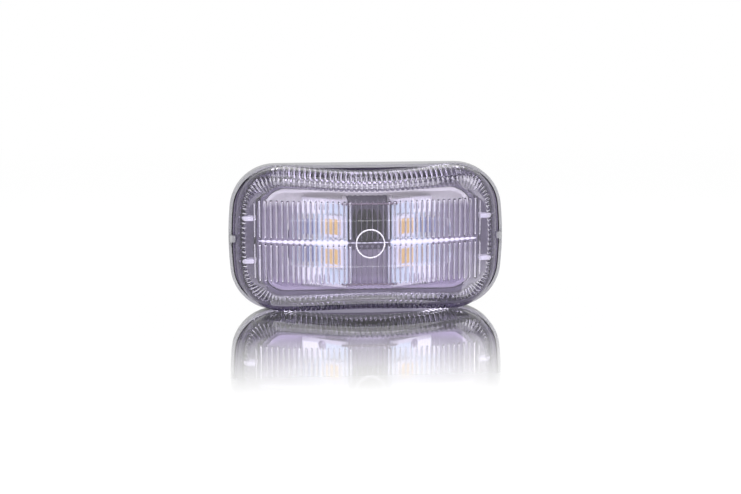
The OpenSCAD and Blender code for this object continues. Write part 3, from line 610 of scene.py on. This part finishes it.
def reflector_tones_and_shade():
    """The reflector's colour by its place: lighter at its upper shoulder and a little at its lower one, and painted
    shade, near black, in the upper half of the channel between the boards, where that recess lies in shade."""
    tree, given = node_group("Reflector tones and shade", {"Colour": grey(0.3)}, {"Colour": "NodeSocketColor"})
    place = piece_axes(tree)
    half_height, shade_half_x, shade_low, shade_high = 0.012, 0.0047, 0.0012, 0.0083
    span = {"Value": place["Z"], "From Min": -half_height, "From Max": half_height}
    height = add_node(tree, "ShaderNodeMapRange", span).outputs["Result"]
    ramp = add_node(tree, "ShaderNodeValToRGB", {"Fac": height})
    stops = ramp.color_ramp.elements
    stops[0].position, stops[0].color = 0.07, (1.35, 1.32, 1.36, 1.0)
    stops[1].position, stops[1].color = 0.86, (2.5, 2.75, 2.1, 1.0)
    for position in (0.12, 0.81):
        stops.new(position).color = WHITE
    tinted = mix_colours(tree, 1.0, given["Colour"], ramp.outputs["Color"], "MULTIPLY")
    # Painted shade: a near-black patch where the channel between the boards lies in shade.
    near = calculate(tree, "LESS_THAN", calculate(tree, "ABSOLUTE", place["X"]), shade_half_x)
    above = calculate(tree, "GREATER_THAN", place["Z"], shade_low)
    below = calculate(tree, "LESS_THAN", place["Z"], shade_high)
    channel = calculate(tree, "MULTIPLY", near, calculate(tree, "MULTIPLY", above, below))
    add_node(tree, "NodeGroupOutput", {"Colour": mix_colours(tree, channel, tinted, (0.05, 0.04, 0.06, 1.0))})
    return tree


def new_material(name):
    """A material, its node tree and its Principled shader."""
    material = bpy.data.materials.new(name)
    material.use_nodes = True
    return material, material.node_tree, material.node_tree.nodes["Principled BSDF"]


def coloured_by(material, group, colours):
    """Puts a node group with the given colours in front of a finish's grain."""
    tree = material.node_tree
    inputs = {name: (*colour, 1.0) for name, colour in colours.items()}
    source = add_node(tree, "ShaderNodeGroup", inputs, node_tree=group)
    set_inputs(tree, tree.nodes["Grain"], {"Colour": source.outputs["Colour"]})
    return material


def finish(name, colour, tone, scale, roughness, relief, metallic=0.0, coat=0.0, specular=0.5):
    """A material whose colour, roughness and relief come from the moulded grain."""
    material, tree, shader = new_material(name)
    group = bpy.data.node_groups.get("Moulded grain") or moulded_grain()
    inputs = {"Colour": (*colour, 1.0), "Tone": tone, "Scale": scale, "Roughness": roughness, "Relief": relief}
    grain = add_node(tree, "ShaderNodeGroup", inputs, node_tree=group, name="Grain")
    shader.inputs["Metallic"].default_value = metallic
    shader.inputs["Coat Weight"].default_value = coat
    shader.inputs["Specular IOR Level"].default_value = specular
    for source, target in (("Colour", "Base Color"), ("Roughness", "Roughness"), ("Normal", "Normal")):
        tree.links.new(grain.outputs[source], shader.inputs[target])
    return material


def clear_plastic(name, tint, roughness=0.02, clearness=1.0):
    """Clear plastic with a slight unevenness, which absorbs along the light's path. It lets the lights reach what
    is inside. A clearness below 1 scatters the rest of the light, as a frosted face does."""
    material, tree, shader = new_material(name)
    noise = add_node(tree, "ShaderNodeTexNoise", {"Vector": piece_place(tree), "Scale": 260.0})
    inputs = {"Strength": 0.05, "Distance": 0.0002, "Height": noise.outputs["Fac"]}
    bump = add_node(tree, "ShaderNodeBump", inputs)
    shader.inputs["Base Color"].default_value = (*tint, 1.0)
    shader.inputs["Transmission Weight"].default_value = clearness
    shader.inputs["IOR"].default_value = 1.55
    shader.inputs["Roughness"].default_value = roughness
    tree.links.new(bump.outputs["Normal"], shader.inputs["Normal"])
    path = add_node(tree, "ShaderNodeLightPath").outputs
    unseen = calculate(tree, "MAXIMUM", path["Is Shadow Ray"], path["Is Diffuse Ray"])
    passing = add_node(tree, "ShaderNodeBsdfTransparent", {"Color": (*tint, 1.0)})
    blend = add_node(tree, "ShaderNodeMixShader", {"Fac": unseen, 1: shader.outputs[0], 2: passing.outputs[0]})
    ends = {"Surface": blend.outputs[0]}
    if clearness == 1.0:
        absorption = {"Color": (0.60, 0.53, 0.74, 1.0), "Density": 110.0}
        ends["Volume"] = add_node(tree, "ShaderNodeVolumeAbsorption", absorption).outputs[0]
    set_inputs(tree, tree.nodes["Material Output"], ends)
    return material


def dress(node, material):
    """Gives a solid its finish."""
    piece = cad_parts[node]
    if piece.material_slots:
        for held in piece.material_slots:
            held.material = material
    else:
        piece.data.materials.append(material)


def dress_all(nodes, material):
    """Gives several solids the same finish."""
    for node in nodes:
        dress(node, material)


# Operators


class LAMP_OT_lens(bpy.types.Operator):
    """Builds the clear lens with its flutes, its ring and its tabs"""

    bl_idname = "lamp.lens"
    bl_label = "Lens"

    def execute(self, context):
        shape = LensShape(context.scene.lamp_lens)
        clear = clear_plastic("Clear plastic", context.scene.lamp_finish.lens)
        frosted = clear_plastic("Frosted plastic", context.scene.lamp_finish.lens, 0.3, 0.55)
        pieces = (
            lens_shell(shape, clear),
            lens_gussets(shape, frosted),
            ring_bead(shape, clear_plastic("Ring plastic", (0.90, 0.88, 0.93), 0.2, 0.6)),
            # Painted highlight: white frosted beads along the break between the rows of flutes.
            break_highlight(shape, clear_plastic("Break highlight plastic", (0.97, 0.97, 1.0), 0.3, 0.3)),
            lens_tabs(shape, clear),
        )
        for piece in pieces:
            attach(piece, "root")
            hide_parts("lens_cover")
        return {"FINISHED"}


class LAMP_OT_shells(bpy.types.Operator):
    """Finishes the bracket, the housing, the reflector and the soft parts"""

    bl_idname = "lamp.shells"
    bl_label = "Bracket and housing"

    def execute(self, context):
        colours = context.scene.lamp_finish
        dress("mounting_bracket", finish("Grey plastic", colours.bracket, 0.12, 2200.0, 0.42, 0.12))
        dress("rear_housing", finish("Housing plastic", colours.housing, 0.14, 1800.0, 0.4, 0.1))
        plastic = finish("Reflector plastic", colours.reflector, 0.12, 1500.0, 0.3, 0.08, metallic=0.3)
        # The reflector's colour carries painted shade in the channel between the boards.
        dress("reflector", coloured_by(plastic, reflector_tones_and_shade(), {"Colour": colours.reflector}))
        rubber = finish("Rubber", (0.018, 0.018, 0.018), 0.25, 2600.0, 0.75, 0.3, specular=0.3)
        dress_all(["housing_seal", "cable_grommet"], rubber)
        dress("mounting_gasket", finish("Foam", (0.03, 0.03, 0.032), 0.5, 3200.0, 0.95, 0.9, specular=0.2))
        return {"FINISHED"}


class LAMP_OT_boards(bpy.types.Operator):
    """Finishes the boards and the parts on them"""

    bl_idname = "lamp.boards"
    bl_label = "Boards"

    def execute(self, context):
        colours = context.scene.lamp_finish
        sides = ["left", "right"]
        # The boards carry painted reflections above and below the resistors and painted shade along their margins.
        painted_light = {"Colour": colours.board, "White": (0.93, 0.94, 0.95), "Margin": (0.62, 0.61, 0.64)}
        mask = coloured_by(finish("Solder mask", colours.board, 0.06, 1200.0, 0.4, 0.06), board_painted_light(), painted_light)
        dress_all([f"led_board_{side}" for side in sides], mask)
        metal = finish("Tinned metal", (0.72, 0.71, 0.68), 0.15, 2400.0, 0.25, 0.1, metallic=1.0)
        dress_all(["led_leads", "resistor_caps", "supply_terminals"], metal)
        enamel = finish("Wire enamel", (0.10, 0.07, 0.10), 0.15, 2400.0, 0.35, 0.08, coat=0.3)
        dress_all(["link_wire_upper", "link_wire_lower"], enamel)
        lacquer = finish("Resistor lacquer", colours.resistor, 0.2, 900.0, 0.25, 0.05, coat=0.5)
        dress_all(["resistor_left_upper", "resistor_left_lower", "resistor_right_upper"], lacquer)
        dress("protection_diode", finish("Black epoxy", (0.02, 0.02, 0.022), 0.2, 2000.0, 0.5, 0.15))
        dress("filter_capacitor", finish("Tan ceramic", (0.42, 0.28, 0.14), 0.25, 1600.0, 0.45, 0.08))
        return {"FINISHED"}


class LAMP_OT_leds(bpy.types.Operator):
    """Finishes the LEDs' bodies and light windows"""

    bl_idname = "lamp.leds"
    bl_label = "LEDs"

    def execute(self, context):
        colours = context.scene.lamp_finish
        places = [f"{side}_{level}" for side in ("left", "right") for level in ("upper", "lower")]
        body = finish("LED body", (0.78, 0.80, 0.84), 0.05, 1500.0, 0.4, 0.05)
        window = finish("Phosphor", colours.phosphor, 0.35, 2600.0, 0.3, 0.2, coat=0.6)
        dress_all([f"led_body_{place}" for place in places], body)
        dress_all([f"led_gel_{place}" for place in places], window)
        return {"FINISHED"}


def camera_pose(stage):
    """The camera's matrix: its back vector is (sin a cos e, -cos a cos e, sin e), with a small roll."""
    a, e, roll = (math.radians(value) for value in (stage.azimuth, stage.elevation, stage.roll))
    back = Vector((math.sin(a) * math.cos(e), -math.cos(a) * math.cos(e), math.sin(e)))
    right = Vector((math.cos(a), math.sin(a), 0.0))
    up = back.cross(right)
    turned_right = right * math.cos(roll) + up * math.sin(roll)
    turned_up = up * math.cos(roll) - right * math.sin(roll)
    place = Vector(stage.aim) + back * stage.distance
    columns = [(*turned_right, 0.0), (*turned_up, 0.0), (*back, 0.0), (*place, 1.0)]
    return Matrix(columns).transposed()


def white_world(ambient):
    """A white surround for the camera and for reflections, softer through glass and softest for the rest."""
    world = bpy.data.worlds.new("Studio")
    bpy.context.scene.world = world
    world.use_nodes = True
    tree = world.node_tree
    path = add_node(tree, "ShaderNodeLightPath").outputs
    plain = calculate(tree, "MAXIMUM", path["Is Camera Ray"], path["Is Glossy Ray"])
    through = calculate(tree, "MULTIPLY", path["Is Transmission Ray"], 0.5)
    inputs = {"Value": calculate(tree, "MAXIMUM", plain, through), "To Min": ambient, "To Max": 1.0}
    strength = add_node(tree, "ShaderNodeMapRange", inputs).outputs["Result"]
    set_inputs(tree, tree.nodes["Background"], {"Color": WHITE, "Strength": strength})


def floor_material(mirror):
    """A white floor that keeps the lamp's shadow and mirrors the lamp near its foot. Both fade as the distance
    from the lamp grows."""
    material, tree, shader = new_material("White floor")
    tree.nodes.remove(shader)
    place = piece_axes(tree)
    mid_depth, end_x = 0.0087, 0.026
    across = calculate(tree, "ABSOLUTE", calculate(tree, "ADD", place["Y"], mid_depth))
    past_end = calculate(tree, "SUBTRACT", calculate(tree, "ABSOLUTE", place["X"]), end_x)
    reach = calculate(tree, "MAXIMUM", across, past_end)

    def fading(near, far, at_near, at_far):
        inputs = {"Value": reach, "From Min": near, "From Max": far, "To Min": at_near, "To Max": at_far}
        return add_node(tree, "ShaderNodeMapRange", inputs).outputs["Result"]

    path = add_node(tree, "ShaderNodeLightPath").outputs
    seen = calculate(tree, "MAXIMUM", path["Is Camera Ray"], path["Is Glossy Ray"])
    seen = calculate(tree, "MAXIMUM", seen, path["Is Transmission Ray"])
    bright = calculate(tree, "MULTIPLY", seen, fading(0.08, 0.4, 0.86, 1.0))
    plain = add_node(tree, "ShaderNodeBsdfDiffuse", {"Color": grey(0.93)})
    glow = add_node(tree, "ShaderNodeEmission", {"Strength": 1.0})
    white = add_node(tree, "ShaderNodeMixShader", {"Fac": bright, 1: plain.outputs[0], 2: glow.outputs[0]})
    gloss = add_node(tree, "ShaderNodeBsdfGlossy", {"Color": WHITE, "Roughness": 0.04})
    inputs = {"Fac": fading(0.029, 0.086, mirror, 0.0), 1: white.outputs[0], 2: gloss.outputs[0]}
    both = add_node(tree, "ShaderNodeMixShader", inputs)
    set_inputs(tree, tree.nodes["Material Output"], {"Surface": both.outputs[0]})
    return material


def area_light(name, place, size, power):
    """A soft rectangular light that faces the lamp."""
    light = bpy.data.lights.new(name, "AREA")
    light.shape = "RECTANGLE"
    light.size, light.size_y = size
    light.energy = power
    lamp = bpy.data.objects.new(name, light)
    aim = Vector(place) - Vector((0.0, -0.008, 0.0))
    lamp.matrix_world = Matrix.Translation(place) @ aim.to_track_quat("Z", "Y").to_matrix().to_4x4()
    bpy.context.scene.collection.objects.link(lamp)


def stage_sheet(name, corners, material):
    """A flat four-cornered sheet for the studio."""
    mesh = bpy.data.meshes.new(name)
    mesh.from_pydata(corners, [], [(0, 1, 2, 3)])
    mesh.materials.append(material)
    sheet = bpy.data.objects.new(name, mesh)
    bpy.context.scene.collection.objects.link(sheet)
    return sheet


def white_floor(mirror):
    """The floor under the bracket's lower edge."""
    ground, span = -0.0175, 3.0
    corners = [(x * span, y * span, ground) for x, y in ((-1, -1), (1, -1), (1, 1), (-1, 1))]
    floor = stage_sheet("floor", corners, floor_material(mirror))


def bore_shade_card():
    """Painted shade: a small dark card behind the open cable bore, in place of the shade inside it. Only light that
    has passed the lens sees it.
    """
    corners = [(x, 0.002, z) for x, z in ((-0.006, -0.004), (0.006, -0.004), (0.006, 0.009), (-0.006, 0.009))]
    card = stage_sheet("bore_shade_card", corners, finish("Bore shade card", (0.05, 0.045, 0.06), 0.1, 900.0, 0.9, 0.0))
    card.visible_camera = False
    card.visible_glossy = False
    card.visible_diffuse = False
    card.visible_shadow = False


class LAMP_OT_stage(bpy.types.Operator):
    """Sets the camera, the lights, the white surround and the floor"""

    bl_idname = "lamp.stage"
    bl_label = "Studio"

    def execute(self, context):
        stage = context.scene.lamp_stage
        camera = bpy.data.cameras.new("Camera")
        camera.lens = stage.focal
        camera.sensor_width = 36.0
        camera.clip_start = 0.01
        camera.clip_end = 20.0
        holder = bpy.data.objects.new("Camera", camera)
        holder.matrix_world = camera_pose(stage)
        context.scene.collection.objects.link(holder)
        context.scene.camera = holder
        white_world(stage.ambient)
        area_light("Upper light", (-0.1, -0.25, 0.55), (0.8, 0.5), 2.9)
        area_light("Front light", (-0.05, -0.5, 0.34), (1.0, 0.26), 2.6)
        area_light("Left light", (-0.5, -0.3, 0.12), (0.25, 0.5), 0.45)
        area_light("Right light", (0.5, -0.25, 0.12), (0.25, 0.5), 1.1)
        white_floor(stage.mirror)
        # Painted shade behind the cable bore, seen only through the lens.
        bore_shade_card()
        context.scene.view_settings.view_transform = "Standard"
        return {"FINISHED"}


class LAMP_PT_panel(bpy.types.Panel):
    """Lists the lamp's pieces and sizes"""

    bl_idname = "LAMP_PT_panel"
    bl_label = "Marker lamp"
    bl_space_type = "VIEW_3D"
    bl_region_type = "UI"
    bl_category = "Lamp"

    def draw(self, context):
        layout = self.layout
        for operator in OPERATORS:
            layout.operator(operator.bl_idname)
        for name in ("lamp_lens", "lamp_finish", "lamp_stage"):
            settings = getattr(context.scene, name)
            box = layout.box()
            for key in settings.__annotations__:
                box.prop(settings, key)


OPERATORS = (LAMP_OT_lens, LAMP_OT_shells, LAMP_OT_boards, LAMP_OT_leds, LAMP_OT_stage)
CLASSES = (LensSettings, FinishSettings, StageSettings, *OPERATORS, LAMP_PT_panel)


def register():
    for cls in CLASSES:
        bpy.utils.register_class(cls)
    bpy.types.Scene.lamp_lens = PointerProperty(type=LensSettings)
    bpy.types.Scene.lamp_finish = PointerProperty(type=FinishSettings)
    bpy.types.Scene.lamp_stage = PointerProperty(type=StageSettings)


def unregister():
    del bpy.types.Scene.lamp_stage
    del bpy.types.Scene.lamp_finish
    del bpy.types.Scene.lamp_lens
    for cls in reversed(CLASSES):
        bpy.utils.unregister_class(cls)


def main():
    register()
    bpy.ops.lamp.lens()
    bpy.ops.lamp.shells()
    bpy.ops.lamp.boards()
    bpy.ops.lamp.leds()
    bpy.ops.lamp.stage()


if __name__ == "__main__":
    main()
